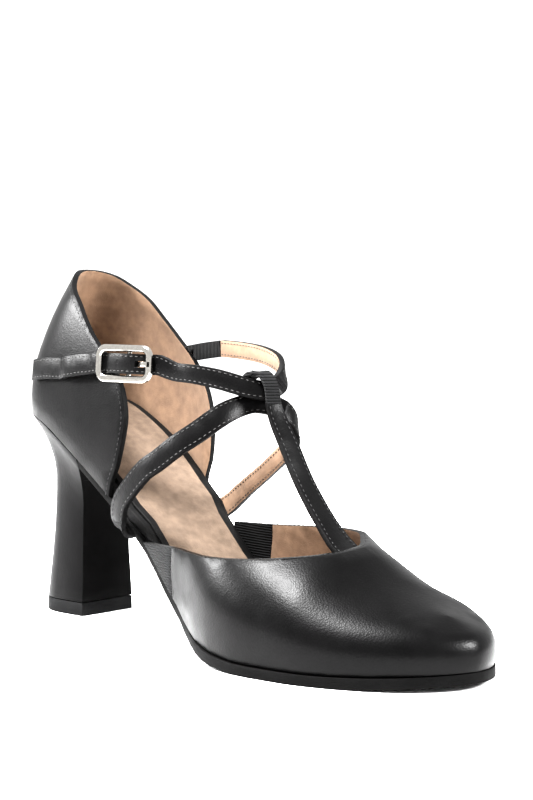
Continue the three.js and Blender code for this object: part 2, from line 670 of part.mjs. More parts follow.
function forepartWall() {
  const rows = placesAlong(FOREPART_START, SHOE_LENGTH, 34, false, true).map((x) => archRow(x, 12));
  return toSolid(wallFromGrid(rows, VAMP_WALL));
}

function throatOpening() {
  const far = 1.2 * SHOE_LENGTH;
  const outline = [
    [0.35 * SHOE_LENGTH, THROAT_HEIGHT - 3],
    [0.5 * SHOE_LENGTH, THROAT_HEIGHT - 1],
    [0.65 * SHOE_LENGTH, THROAT_HEIGHT],
    [far, THROAT_HEIGHT + 2],
    [far, 3 * THROAT_HEIGHT],
    [0.35 * SHOE_LENGTH, 3 * THROAT_HEIGHT],
  ];
  return sidePrism(outline, { x: 0, z: THROAT_TILT });
}

// Everything behind the seam between vamp and gore, moved back or forward by a gap.
function behindSeam(gap) {
  const curve = new THREE.SplineCurve(
    SEAM_EDGE.map(({ ahead, up }) => new THREE.Vector2(SEAM_PLACE + ahead + gap, up * THROAT_HEIGHT)),
  );
  const outline = curve.getPoints(16).map((p) => [p.x, p.y]);
  outline.push([0, outline[outline.length - 1][1]], [0, outline[0][1]]);
  return sidePrism(outline, { x: 0, z: 0 });
}

function sideHalf(side) {
  const half = new THREE.BoxGeometry(2 * SHOE_LENGTH, BALL_WIDTH, 4 * SEAT_HEIGHT);
  half.translate(0, (side * BALL_WIDTH) / 2, 0);
  return toSolid(half);
}

const openForepart = forepartWall().subtract(throatOpening());

function vamp() {
  return toGeometry(openForepart.subtract(behindSeam(HALF_CLEARANCE)));
}

function gore(side) {
  return toGeometry(openForepart.intersect(behindSeam(-HALF_CLEARANCE)).intersect(sideHalf(side)));
}

// Heel cup

const QUARTER_SKEW = -0.05;
const CUP_HOLD = 0.5;

function quarterPoint(place, side, rise) {
  const share = rise / QUARTER_HEIGHT;
  const forward = THREE.MathUtils.smoothstep(place, 0, QUARTER_REACH);
  const lean = QUARTER_HEIGHT * leanAt(share) * (1 - forward);
  const taper = 1 - (1 - taperAt(share)) * (1 - CUP_HOLD * forward);
  return new THREE.Vector3(
    place + lean,
    axisOffset(place) + side * halfWidth(place) * taper,
    featherHeight(place) + HALF_CLEARANCE + rise,
  );
}

// Point at a distance outside the heel cup's outer face.
function beyondQuarter(place, side, rise, distance) {
  const centre = quarterPoint(place, side, rise);
  const along = quarterPoint(place + 1, side, rise).sub(quarterPoint(place - 1, side, rise));
  const up = quarterPoint(place, side, rise + 1).sub(quarterPoint(place, side, rise - 1));
  const away = along.cross(up).normalize().multiplyScalar(-side);
  return { place: centre.addScaledVector(away, distance), away };
}

function quarterPrism(gap) {
  const curve = new THREE.SplineCurve(
    QUARTER_EDGE.map(({ forward, up }) => {
      const x = forward * QUARTER_REACH + gap;
      return new THREE.Vector2(x, featherHeight(0.9 * QUARTER_REACH) + up * (QUARTER_HEIGHT + 20) + gap);
    }),
  );
  const outline = curve.getPoints(40).map((p) => [p.x, p.y]);
  outline.push([-QUARTER_REACH, outline[outline.length - 1][1]], [-QUARTER_REACH, -SEAT_HEIGHT]);
  outline.push([outline[0][0], -SEAT_HEIGHT]);
  return sidePrism(outline, { x: QUARTER_SKEW, z: 0 });
}

function quarter() {
  const back = placesAlong(0, SHOE_LENGTH * 0.42, 20, true, false);
  const inner = back.map((x) => [x, INNER]).reverse();
  const outer = back.slice(1).map((x) => [x, OUTER]);
  const path = [...inner, ...outer];
  const rises = Array.from({ length: 11 }, (_, i) => (QUARTER_HEIGHT * 1.15 * i) / 10);
  const grid = path.map(([place, side]) => rises.map((rise) => quarterPoint(place, side, rise)));
  const wall = toSolid(wallFromGrid(grid, QUARTER_WALL));
  return toGeometry(wall.intersect(quarterPrism(0)));
}

// Straps

const STRAP_STEPS = 3;

function facing(yaw, tip) {
  const turn = THREE.MathUtils.degToRad(yaw);
  const lift = THREE.MathUtils.degToRad(tip);
  return new THREE.Vector3(Math.cos(lift) * Math.cos(turn), Math.cos(lift) * Math.sin(turn), Math.sin(lift));
}

function routeRow({ along, aside, rise, yaw, tip, wide, thick = 1 }) {
  const place = new THREE.Vector3(along * SHOE_LENGTH, aside * BALL_WIDTH, rise * SEAT_HEIGHT);
  return { place, face: facing(yaw, tip), wide, thick };
}

// Flat band through rows that give its middle, the way its outer face looks and its shares of size.
function bandSolid(rows, width, thickness) {
  const curve = new THREE.CatmullRomCurve3(rows.map((row) => row.place), false, "centripetal");
  const count = (rows.length - 1) * STRAP_STEPS;
  const rings = Array.from({ length: count + 1 }, (_, i) => {
    const row = Math.min(rows.length - 2, Math.floor(i / STRAP_STEPS));
    const blend = i / STRAP_STEPS - row;
    const [from, to] = [rows[row], rows[row + 1]];
    const centre = curve.getPoint(i / count);
    const along = curve.getTangent(i / count);
    const face = from.face.clone().lerp(to.face, blend);
    face.addScaledVector(along, -face.dot(along)).normalize();
    const across = new THREE.Vector3().crossVectors(along, face);
    const half = (width / 2) * THREE.MathUtils.lerp(from.wide, to.wide, blend);
    const deep = (thickness / 2) * THREE.MathUtils.lerp(from.thick, to.thick, blend);
    const corner = (a, f) => centre.clone().addScaledVector(across, a * half).addScaledVector(face, f * deep);
    return [corner(1, -1), corner(-1, -1), corner(-1, 1), corner(1, 1)];
  });
  return toSolid(loftRings(rings));
}

function tStrap() {
  const front = bandSolid(T_STRAP_ROUTE.map(routeRow), T_STRAP_WIDTH, T_STRAP_THICKNESS);
  const back = bandSolid(LOOP_ROUTE.map(routeRow), T_STRAP_WIDTH, T_STRAP_THICKNESS);
  return toGeometry(front.add(back));
}

function crossStrap() {
  return toGeometry(bandSolid(CROSS_ROUTE.map(routeRow), STRAP_WIDTH, STRAP_THICKNESS));
}

function strapElastic() {
  const band = bandSolid(ELASTIC_ROUTE.map(routeRow), ELASTIC_WIDTH, ELASTIC_THICKNESS);
  return toGeometry(band.subtract(quarterPrism(CLEARANCE)));
}

// Buckle: forward, up and out from the middle of its frame

const ROUND_STEPS = 16;
const BAR_RADIUS = BAR_DIAMETER / 2;
const EYE_RADIUS = BAR_RADIUS + CLEARANCE + EYE_WALL;
const BAR_REACH = (BUCKLE_LENGTH - BUCKLE_BAR) / 2;
const POST_HEIGHT = (BUCKLE_HEIGHT - BUCKLE_BAR) / 2;
const STRAP_OVER = EYE_RADIUS - BAR_DROP + CLEARANCE + STRAP_THICKNESS / 2;
const STRAP_UNDER = -(BUCKLE_DEPTH / 2 + 1.5 * CLEARANCE + STRAP_THICKNESS / 2);
const TAB_UNDER = STRAP_UNDER - STRAP_THICKNESS / 2 - CLEARANCE - TAB_THICKNESS / 2;

const buckleSpot = routeRow(BUCKLE_SPOT);
const buckleForward = facing(BUCKLE_SPOT.yaw + 90, 0);
const buckleUp = new THREE.Vector3().crossVectors(buckleSpot.face, buckleForward);
const buckleFrame = new THREE.Matrix4()
  .makeBasis(buckleForward, buckleUp, buckleSpot.face)
  .setPosition(buckleSpot.place);

function buckleRow(forward, out, wide = 1, thick = 1) {
  const place = new THREE.Vector3(forward, 0, out).applyMatrix4(buckleFrame);
  return { place, face: buckleSpot.face, wide, thick };
}

function atBuckle(geometry) {
  return toSolid(geometry.applyMatrix4(buckleFrame));
}

// Round bar upright in the buckle, about the place of the centre bar.
function uprightBar(radius, height) {
  const bar = new THREE.CylinderGeometry(radius, radius, height, ROUND_STEPS);
  return bar.translate(0, 0, -BAR_DROP);
}

function block(length, height, depth, forward, up, out) {
  return new THREE.BoxGeometry(length, height, depth).translate(forward, up, out);
}

function roundedRectangle(length, height, round) {
  const [x, y] = [length / 2, height / 2];
  const shape = new THREE.Shape();
  shape.moveTo(x, 0);
  shape.lineTo(x, y - round);
  shape.absarc(x - round, y - round, round, 0, Math.PI / 2);
  shape.absarc(round - x, y - round, round, Math.PI / 2, Math.PI);
  shape.absarc(round - x, round - y, round, Math.PI, 1.5 * Math.PI);
  shape.absarc(x - round, round - y, round, 1.5 * Math.PI, 2 * Math.PI);
  return shape;
}

function buckleRing() {
  const bevel = 0.2 * BUCKLE_BAR;
  const shape = roundedRectangle(BUCKLE_LENGTH - 2 * bevel, BUCKLE_HEIGHT - 2 * bevel, BUCKLE_ROUND - bevel);
  const wide = 2 * (BUCKLE_BAR - bevel);
  const hole = roundedRectangle(BUCKLE_LENGTH - wide, BUCKLE_HEIGHT - wide, BUCKLE_ROUND - BUCKLE_BAR + bevel);
  shape.holes.push(hole);
  const depth = BUCKLE_DEPTH - 2 * bevel;
  const ring = new THREE.ExtrudeGeometry(shape, {
    depth,
    bevelThickness: bevel,
    bevelSize: bevel,
    bevelSegments: 1,
    curveSegments: 5,
  });
  return ring.translate(0, 0, -depth / 2);
}

function buckleFramePiece() {
  let frame = atBuckle(buckleRing());
  frame = frame.add(atBuckle(uprightBar(BAR_RADIUS, 2 * POST_HEIGHT + BAR_DIAMETER)));
  for (const side of [-1, 1]) {
    const post = block(BAR_DIAMETER, BAR_DIAMETER, BAR_DROP, 0, side * POST_HEIGHT, -BAR_DROP / 2);
    frame = frame.add(atBuckle(post));
  }
  return toGeometry(frame);
}

const PRONG_RISE = 0.6;
const PRONG_ROUTE = [
  { reach: 0.09, out: -BAR_DROP },
  { reach: 0.42, out: -BAR_DROP + 0.15 },
  { reach: 0.58, out: -0.55 * BAR_DROP },
  { reach: 0.65, out: 0.05 },
  { reach: 0.74, out: 0.95 },
  { reach: 0.9, out: BUCKLE_DEPTH / 2 + CLEARANCE + PRONG_THICKNESS / 2 },
  { reach: 1.08, out: BUCKLE_DEPTH / 2 + CLEARANCE + PRONG_THICKNESS / 2 },
];

function bucklePin() {
  const rows = PRONG_ROUTE.map(({ reach, out }) => buckleRow(reach * BAR_REACH, out));
  const eye = atBuckle(uprightBar(EYE_RADIUS, PRONG_WIDTH));
  const bore = atBuckle(uprightBar(BAR_RADIUS + CLEARANCE, 2 * PRONG_WIDTH));
  return toGeometry(bandSolid(rows, PRONG_WIDTH, PRONG_THICKNESS).add(eye).subtract(bore));
}

function cupRow(forward, up, distance, wide) {
  const spot = beyondQuarter(forward * QUARTER_REACH, OUTER, up * QUARTER_HEIGHT, distance);
  return { place: spot.place, face: spot.away, wide, thick: 1 };
}

function buckleTab() {
  const onCup = CUP_GAP + TAB_THICKNESS / 2;
  const rows = TAIL_ROUTE.filter((row) => row.over === 1).map((row) => cupRow(row.forward, row.up, onCup, 1));
  rows.push(buckleRow(-BAR_REACH, TAB_UNDER));
  rows.push(buckleRow(0, -BAR_DROP));
  const round = BAR_RADIUS + CLEARANCE + TAB_THICKNESS / 2;
  const fold = atBuckle(uprightBar(round, TAB_WIDTH));
  const bore = atBuckle(uprightBar(BAR_RADIUS + CLEARANCE, 2 * TAB_WIDTH));
  const room = 2 * (EYE_RADIUS + CLEARANCE);
  const slot = atBuckle(block(room, PRONG_WIDTH + 2 * CLEARANCE, room, 0, 0, -BAR_DROP));
  return toGeometry(bandSolid(rows, TAB_WIDTH, TAB_THICKNESS).add(fold).subtract(bore).subtract(slot));
}

function ankleStrap() {
  const onCup = CUP_GAP + STRAP_THICKNESS / 2;
  const rows = TAIL_ROUTE.map((row) => {
    return cupRow(row.forward, row.up, onCup + row.over * (TAB_THICKNESS + CLEARANCE), row.wide);
  });
  const past = BAR_REACH + BUCKLE_BAR;
  rows.push(buckleRow(-past, STRAP_UNDER - CLEARANCE, BUCKLE_SPOT.wide));
  rows.push(buckleRow(-BAR_REACH, STRAP_UNDER, BUCKLE_SPOT.wide));
  rows.push(buckleRow(0, STRAP_OVER, BUCKLE_SPOT.wide));
  rows.push(buckleRow(BAR_REACH, STRAP_UNDER, BUCKLE_SPOT.wide));
  rows.push(buckleRow(past, STRAP_UNDER - CLEARANCE, BUCKLE_SPOT.wide));
  rows.push(...ANKLE_ROUTE.map(routeRow));
  const hole = block(0.3 * BAR_REACH, PRONG_WIDTH + 2 * CLEARANCE, 2 * BAR_DROP, PRONG_RISE * BAR_REACH, 0, -BAR_DROP / 3);
  return toGeometry(bandSolid(rows, STRAP_WIDTH, STRAP_THICKNESS).subtract(atBuckle(hole)));
}

const shoe = new THREE.Group();

function addPiece(name, geometry, color, roughness, metalness = 0) {
  const material = new THREE.MeshStandardMaterial({ color, roughness, metalness });
  const piece = new THREE.Mesh(geometry, material);
  piece.name = name;
  shoe.add(piece);
}

const BLACK_LEATHER = 0x151414;
const TAN_LINING = 0xb98d6a;
const BLACK_ELASTIC = 0x101012;
const SOLE_BLACK = 0x1b1b1a;
const CHROME = 0xd8d8da;

addPiece("outsole", outsole(), SOLE_BLACK, 0.7);
addPiece("insole_board", insoleBoard(), 0x1c1a19, 0.6);
addPiece("sock", sock(), TAN_LINING, 0.8);
addPiece("heel", heel(), BLACK_LEATHER, 0.45);
addPiece("heel_tip", heelTip(), SOLE_BLACK, 0.6);
addPiece("vamp", vamp(), BLACK_LEATHER, 0.4);
addPiece("gore_outer", gore(OUTER), BLACK_ELASTIC, 0.8);
addPiece("gore_inner", gore(INNER), BLACK_ELASTIC, 0.8);
addPiece("quarter", quarter(), BLACK_LEATHER, 0.4);
addPiece("t_strap", tStrap(), BLACK_LEATHER, 0.4);
addPiece("cross_strap", crossStrap(), BLACK_LEATHER, 0.4);
addPiece("ankle_strap", ankleStrap(), BLACK_LEATHER, 0.4);
addPiece("strap_elastic", strapElastic(), BLACK_ELASTIC, 0.8);
addPiece("buckle_frame", buckleFramePiece(), CHROME, 0.2, 1);
addPiece("buckle_prong", bucklePin(), CHROME, 0.2, 1);
addPiece("buckle_tab", buckleTab(), BLACK_LEATHER, 0.4);

// The origin is the middle of the shoe's box, on the floor.
const extent = new THREE.Box3().setFromObject(shoe);
const middle = extent.getCenter(new THREE.Vector3());
shoe.position.set(-middle.x, -middle.y, -extent.min.z);

export default shoe;
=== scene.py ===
"""Looks of a right t-strap shoe: leather, lining, elastic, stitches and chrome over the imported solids."""

import logging
import math
from collections.abc import Callable, Iterable
from dataclasses import dataclass, field
from enum import Enum

import bmesh
import bpy
from mathutils import Matrix, Vector
from mathutils.bvhtree import BVHTree


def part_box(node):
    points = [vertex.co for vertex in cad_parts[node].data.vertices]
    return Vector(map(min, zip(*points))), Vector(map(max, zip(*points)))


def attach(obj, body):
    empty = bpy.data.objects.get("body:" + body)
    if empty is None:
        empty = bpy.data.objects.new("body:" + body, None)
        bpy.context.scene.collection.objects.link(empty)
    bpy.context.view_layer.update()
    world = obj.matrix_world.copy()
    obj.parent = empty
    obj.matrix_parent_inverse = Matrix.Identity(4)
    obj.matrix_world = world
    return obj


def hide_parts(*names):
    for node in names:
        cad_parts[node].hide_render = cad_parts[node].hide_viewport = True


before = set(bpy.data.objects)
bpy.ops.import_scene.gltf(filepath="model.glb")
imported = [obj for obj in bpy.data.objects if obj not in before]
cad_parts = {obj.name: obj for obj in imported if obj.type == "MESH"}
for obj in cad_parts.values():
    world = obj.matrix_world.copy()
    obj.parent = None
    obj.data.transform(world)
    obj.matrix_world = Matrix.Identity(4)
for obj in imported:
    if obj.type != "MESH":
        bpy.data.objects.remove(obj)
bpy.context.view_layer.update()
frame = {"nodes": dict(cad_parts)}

log = logging.getLogger("t_strap_shoe")
MM = 0.001
BODY = "root"


class Slot(Enum):
    """The record's material slots; each piece is passed one, but nothing reads it."""

    LEATHER = "black_leather"
    SOCK = "tan_sock"
    BOARD = "board_cover"
    SOLE = "sole_black"
    TIP = "tip_black"
    ELASTIC = "elastic_black"
    CHROME = "chrome"


class Side(Enum):
    """Which skin of a wall or strap a face belongs to."""

    OUTER = 0
    INNER = 1
    RIM = 2
    GATHERED = 3


# Finishes

Colour = tuple[float, float, float]
Socket = bpy.types.NodeSocket


class Nodes:
    """Small helper that adds and links shader nodes of one material."""

    def __init__(self, name: str) -> None:
        """Starts an empty node material.

        Args:
            name: Name of the material.
        """
        self.material = bpy.data.materials.new(name)
        self.material.use_nodes = True
        self.tree = self.material.node_tree
        self.shader = self.tree.nodes["Principled BSDF"]
        self.place = self.add("ShaderNodeTexCoord").outputs["Object"]

    def add(self, kind: str, **values: object) -> bpy.types.Node:
        """Adds one node.

        Args:
            kind: Blender's name of the node type.
            values: Values of its input sockets, with _ for each space in their names.

        Returns:
            The new node.
        """
        node = self.tree.nodes.new(kind)
        for key, value in values.items():
            node.inputs[key.replace("_", " ")].default_value = value
        return node

    def join(self, source: Socket, target: Socket) -> None:
        """Links two sockets."""
        self.tree.links.new(source, target)

    def noise(self, scale: float, detail: float) -> Socket:
        """Noise over the piece.

        Args:
            scale: Repeats per metre.
            detail: Octaves of noise.

        Returns:
            The socket with the noise's value.
        """
        node = self.add("ShaderNodeTexNoise", Scale=scale, Detail=detail, Roughness=0.55)
        self.join(self.place, node.inputs["Vector"])
        return node.outputs["Fac"]

    def cells(self, scale: float) -> Socket:
        """Distance to the edge of small cells, for the grain of leather.

        Args:
            scale: Cells per metre.

        Returns:
            The socket with the distance.
        """
        node = self.add("ShaderNodeTexVoronoi", Scale=scale)
        self.join(self.place, node.inputs["Vector"])
        return node.outputs["Distance"]

    def ribs(self, scale: float, axis: str, wobble: float) -> Socket:
        """Straight ribs across one axis.

        Args:
            scale: Scale of the wave; ribs lie about 0.31 / scale metres apart.
            axis: X, Y or Z.
            wobble: How much the ribs wander.

        Returns:
            The socket with the wave's value.
        """
        node = self.add("ShaderNodeTexWave", Scale=scale, Distortion=wobble)
        node.wave_type = "BANDS"
        node.bands_direction = axis
        self.join(self.place, node.inputs["Vector"])
        return node.outputs["Fac"]

    def roughen(self, value: Socket, low: float, high: float) -> None:
        """Feeds the shader's roughness with a value moved from 0..1 to low..high."""
        node = self.add("ShaderNodeMapRange", To_Min=low, To_Max=high)
        self.join(value, node.inputs["Value"])
        self.join(node.outputs["Result"], self.shader.inputs["Roughness"])

    def paint(self, value: Socket, stops: list[tuple[float, Colour]]) -> None:
        """Feeds the shader's base colour with colours along a value.

        Args:
            value: Where on the ramp.
            stops: Places and colours.
        """
        node = self.add("ShaderNodeValToRGB")
        self.join(value, node.inputs["Fac"])
        points = node.color_ramp.elements
        while len(points) < len(stops):
            points.new(0.5)
        for point, (place, colour) in zip(points, stops):
            point.position = place
            point.color = (*colour, 1.0)
        self.join(node.outputs["Color"], self.shader.inputs["Base Color"])

    def bump(self, heights: Iterable[tuple[Socket, float]]) -> None:
        """Adds bumps one over another and feeds them to the shader.

        Args:
            heights: Height sockets, each with its depth in metres.
        """
        last = None
        for height, depth in heights:
            node = self.add("ShaderNodeBump", Strength=1.0, Distance=depth)
            self.join(height, node.inputs["Height"])
            if last is not None:
                self.join(last, node.inputs["Normal"])
            last = node.outputs["Normal"]
        self.join(last, self.shader.inputs["Normal"])

    def set(self, **values: object) -> None:
        """Sets values on the shader's own sockets, with _ for each space in their names."""
        for key, value in values.items():
            self.shader.inputs[key.replace("_", " ")].default_value = value


def mixed(colour: Colour, factor: float) -> Colour:
    """The colour made lighter or darker by a factor."""
    return tuple(min(1.0, channel * factor) for channel in colour)


@dataclass(frozen=True)
class Leather:
    """Smooth dyed leather with a fine grain."""

    name: str
    colour: Colour = (0.0022, 0.0021, 0.0022)
    roughness: float = 0.42
    shine: float = 0.1
    grain: float = 0.00003
    creases: float = 0.00006
    pore_scale: float = 1500.0
    crease_scale: float = 160.0
    cloud_scale: float = 38.0

    def material(self) -> bpy.types.Material:
        """Builds the node material."""
        nodes = Nodes(self.name)
        pores = nodes.cells(self.pore_scale)
        creases = nodes.noise(self.crease_scale, 6)
        cloud = nodes.noise(self.cloud_scale, 3)
        nodes.paint(cloud, [(0.3, mixed(self.colour, 0.75)), (0.75, mixed(self.colour, 1.5))])
        nodes.roughen(creases, self.roughness - 0.07, self.roughness + 0.09)
        nodes.bump([(creases, self.creases), (pores, self.grain)])
        nodes.set(Specular_IOR_Level=self.shine)
        return nodes.material


@dataclass(frozen=True)
class Suede:
    """Matt lining or sock leather with a soft nap."""

    name: str
    colour: Colour = (0.21, 0.142, 0.098)
    mottle: float = 0.16
    nap: float = 0.00009
    patch_scale: float = 240.0
    patch_depth: float = 0.00005
    fibre_scale: float = 2600.0

    def material(self) -> bpy.types.Material:
        """Builds the node material."""
        nodes = Nodes(self.name)
        spots = nodes.noise(self.patch_scale, 6)
        fibres = nodes.noise(self.fibre_scale, 2)
        low, high = mixed(self.colour, 1 - self.mottle), mixed(self.colour, 1 + self.mottle)
        nodes.paint(spots, [(0.32, low), (0.68, high)])
        nodes.roughen(fibres, 0.72, 0.95)
        nodes.bump([(spots, self.patch_depth), (fibres, self.nap)])
        nodes.set(Specular_IOR_Level=0.15, Sheen_Weight=0.08, Sheen_Roughness=0.5)
        return nodes.material


@dataclass(frozen=True)
class Elastic:
    """Woven elastic with straight ribs, with painted shade in the rib grooves and a painted highlight on
    the crests.
    """

    name: str
    ribs: float = 330.0
    axis: str = "X"
    rib_depth: float = 0.0003
    weave_scale: float = 3200.0
    weave_depth: float = 0.00008
    painted_groove_shade: Colour = (0.001, 0.001, 0.001)
    painted_crest_light: Colour = (0.009, 0.009, 0.0095)

    def material(self) -> bpy.types.Material:
        """Builds the node material."""
        nodes = Nodes(self.name)
        ribs = nodes.ribs(self.ribs, self.axis, 0.6)
        weave = nodes.noise(self.weave_scale, 2)
        # Painted shade and highlight: the colour follows the ribs, dark in the grooves and lighter on the
        # crests.
        nodes.paint(ribs, [(0.15, self.painted_groove_shade), (0.8, self.painted_crest_light)])
        nodes.roughen(weave, 0.62, 0.86)
        nodes.bump([(ribs, self.rib_depth), (weave, self.weave_depth)])
        nodes.set(Sheen_Weight=0.04, Specular_IOR_Level=0.15)
        return nodes.material


@dataclass(frozen=True)
class Matt:
    """Matt dyed sole edge, covered board or moulded heel tip."""

    name: str
    colour: Colour = (0.003, 0.0029, 0.0029)
    roughness: float = 0.7
    grain: float = 1400.0
    depth: float = 0.00008
    wear_scale: float = 90.0
    wear_depth: float = 0.0001

    def material(self) -> bpy.types.Material:
        """Builds the node material."""
        nodes = Nodes(self.name)
        grain = nodes.noise(self.grain, 4)
        wear = nodes.noise(self.wear_scale, 5)
        nodes.paint(wear, [(0.35, mixed(self.colour, 0.7)), (0.8, mixed(self.colour, 1.7))])
        nodes.roughen(wear, self.roughness - 0.1, self.roughness + 0.12)
        nodes.bump([(wear, self.wear_depth), (grain, self.depth)])
        nodes.set(Specular_IOR_Level=0.08)
        return nodes.material


@dataclass(frozen=True)
class Chrome:
    """Polished plating with faint handling marks."""

    name: str
    colour: Colour = (0.4, 0.385, 0.36)
    mark_scale: float = 900.0
    mark_depth: float = 0.000015

    def material(self) -> bpy.types.Material:
        """Builds the node material."""
        nodes = Nodes(self.name)
        marks = nodes.noise(self.mark_scale, 5)
        nodes.paint(marks, [(0.3, mixed(self.colour, 0.9)), (0.7, self.colour)])
        nodes.roughen(marks, 0.1, 0.24)
        nodes.bump([(marks, self.mark_depth)])
        nodes.set(Metallic=1.0)
        return nodes.material


@dataclass(frozen=True)
class Thread:
    """Twisted sewing thread."""

    name: str
    colour: Colour
    twist_scale: float = 4000.0
    twist_depth: float = 0.00005

    def material(self) -> bpy.types.Material:
        """Builds the node material."""
        nodes = Nodes(self.name)
        twist = nodes.noise(self.twist_scale, 2)
        nodes.paint(twist, [(0.3, mixed(self.colour, 0.7)), (0.7, mixed(self.colour, 1.15))])
        nodes.roughen(twist, 0.5, 0.75)
        nodes.bump([(twist, self.twist_depth)])
        return nodes.material


class Finishes:
    """Every finish of the shoe, made once."""

    def __init__(self) -> None:
        """Builds the materials."""
        self.upper = Leather("upper_nappa", roughness=0.34, shine=0.12).material()
        self.strap = Leather("strap_nappa", roughness=0.38, creases=0.00022, shine=0.13).material()
        self.heel = Leather("heel_cover", roughness=0.43).material()
        self.breast = Matt("heel_breast", roughness=0.85, grain=2200).material()
        self.edge = Leather("cut_edge", (0.004, 0.0039, 0.004), roughness=0.6, shine=0.12).material()
        self.lining = Suede("tan_lining").material()
        self.sock = Suede("sock_suede", (0.108, 0.08, 0.06), mottle=0.2, nap=0.00014).material()
        self.board = Matt("board_cover", (0.009, 0.0088, 0.0088), roughness=0.55).material()
        self.sole = Matt("sole_edge", roughness=0.62).material()
        self.tip = Matt("heel_tip", (0.007, 0.007, 0.0072), roughness=0.6).material()
        self.gore = Elastic("gore_ribs", axis="Z").material()
        self.band = Elastic("band_ribs", ribs=420).material()
        # The gathered loop uses the ribbed elastic finish, whose darker grooves are painted shade between
        # the folds.
        self.gathers = Elastic("loop_gathers", ribs=300, axis="Z").material()
        self.chrome = Chrome("buckle_plating").material()
        self.pale_thread = Thread("pale_thread", (0.03, 0.029, 0.028)).material()
        self.dark_thread = Thread("dark_thread", (0.008, 0.0078, 0.0078)).material()


@dataclass(frozen=True)
class Camera:
    """The photograph's camera, in metres in the row frame."""

    place: tuple[float, float, float] = (0.52306, -0.42940, 0.13099)
    azimuth: float = 40.284
    elevation: float = 3.576
    roll: float = 0.642
    lens: float = 83.55
    sensor: float = 36.0
    frame: tuple[int, int] = (533, 800)

    def axes(self) -> tuple[Vector, Vector, Vector]:
        """Directions to the right, up and back."""
        turn, rise, roll = map(math.radians, (self.azimuth, self.elevation, self.roll))
        back = Vector((math.cos(turn) * math.cos(rise), -math.sin(turn) * math.cos(rise), math.sin(rise)))
        level = Vector((math.sin(turn), math.cos(turn), 0))
        upright = back.cross(level)
        right = level * math.cos(roll) + upright * math.sin(roll)
        up = upright * math.cos(roll) - level * math.sin(roll)
        return right, up, back

    def ray(self, pixel: tuple[float, float]) -> tuple[Vector, Vector]:
        """The ray through a pixel of the photograph.

        Args:
            pixel: Column and row, from the top left corner.

        Returns:
            Its start and direction.
        """
        right, up, back = self.axes()
        focal = self.lens / self.sensor * self.frame[1]
        across = (pixel[0] - self.frame[0] / 2) / focal
        rise = (self.frame[1] / 2 - pixel[1]) / focal
        return Vector(self.place), (right * across + up * rise - back).normalized()

    def build(self) -> None:
        """Makes the camera and sets it as the scene's."""
        data = bpy.data.cameras.new("photo_camera")
        data.lens = self.lens
        data.sensor_width = self.sensor
        data.clip_start, data.clip_end = 0.01, 20
        camera = bpy.data.objects.new("photo_camera", data)
        camera.matrix_world = Matrix.Translation(self.place) @ Matrix(self.axes()).transposed().to_4x4()
        bpy.context.scene.collection.objects.link(camera)
        bpy.context.scene.camera = camera


PHOTO_CAMERA = Camera()


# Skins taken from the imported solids

Point = tuple[Vector, Vector]
Run = list[bmesh.types.BMVert]
Faces = list[bmesh.types.BMFace]

# How near two places are to count as one, in millimetres.
SAME_PLACE = 0.002
NO_LENGTH = 0.001


def run_length(run: Run) -> float:
    """Length of a run of vertices."""
    return sum((a.co - b.co).length for a, b in zip(run, run[1:]))


def node_copy(node: str) -> bmesh.types.BMesh:
    """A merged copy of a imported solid.

    Args:
        node: Name of the solid.

    Returns:
        A mesh with its doubles merged.
    """
    mesh = bmesh.new()
    mesh.from_mesh(frame["nodes"][node].data)
    bmesh.ops.remove_doubles(mesh, verts=mesh.verts, dist=SAME_PLACE * MM)
    bmesh.ops.dissolve_degenerate(mesh, dist=NO_LENGTH * MM, edges=mesh.edges)
    mesh.normal_update()
    return mesh


def make_piece(
    name: str, mesh: bmesh.types.BMesh, materials: list[bpy.types.Material], slot: Slot, *nodes: str
) -> bpy.types.Object:
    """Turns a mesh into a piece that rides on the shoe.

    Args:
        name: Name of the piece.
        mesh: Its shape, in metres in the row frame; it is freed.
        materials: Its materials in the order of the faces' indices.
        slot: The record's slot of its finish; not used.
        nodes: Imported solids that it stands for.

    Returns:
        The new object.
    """
    data = bpy.data.meshes.new(name)
    mesh.to_mesh(data)
    mesh.free()
    piece = bpy.data.objects.new(name, data)
    bpy.context.scene.collection.objects.link(piece)
    for material in materials:
        data.materials.append(material)
    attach(piece, BODY)
    if nodes:
        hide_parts(*nodes)
    log.info("%s: %d faces", name, len(data.polygons))
    return piece


def soften(piece: bpy.types.Object, width: float, angle: float = 38.0, segments: int = 2) -> None:
    """Rounds the sharp edges of a piece and shades it smooth.

    Args:
        piece: The piece.
        width: Width of the rounding in millimetres.
        angle: Smallest angle of an edge that is rounded, in degrees.
        segments: Facets of each rounding.
    """
    for polygon in piece.data.polygons:
        polygon.use_smooth = True
    bevel = piece.modifiers.new("rounded_edges", "BEVEL")
    bevel.width = width * MM
    bevel.segments = segments
    bevel.limit_method = "ANGLE"
    bevel.angle_limit = math.radians(angle)
    bevel.harden_normals = True


def patches(mesh: bmesh.types.BMesh, angle: float) -> list[Faces]:
    """Groups of faces that join with no sharp edge between them.

    Args:
        mesh: The mesh.
        angle: Angle in degrees from which an edge counts as sharp.

    Returns:
        The groups, largest area first.
    """
    limit = math.radians(angle)
    left = set(mesh.faces)
    groups = []
    while left:
        first = left.pop()
        group, front = [first], [first]
        while front:
            face = front.pop()
            for edge in face.edges:
                if len(edge.link_faces) != 2 or edge.calc_face_angle(0.0) > limit:
                    continue
                for other in edge.link_faces:
                    if other in left:
                        left.remove(other)
                        group.append(other)
                        front.append(other)
        groups.append(group)
    return sorted(groups, key=lambda group: -sum(face.calc_area() for face in group))


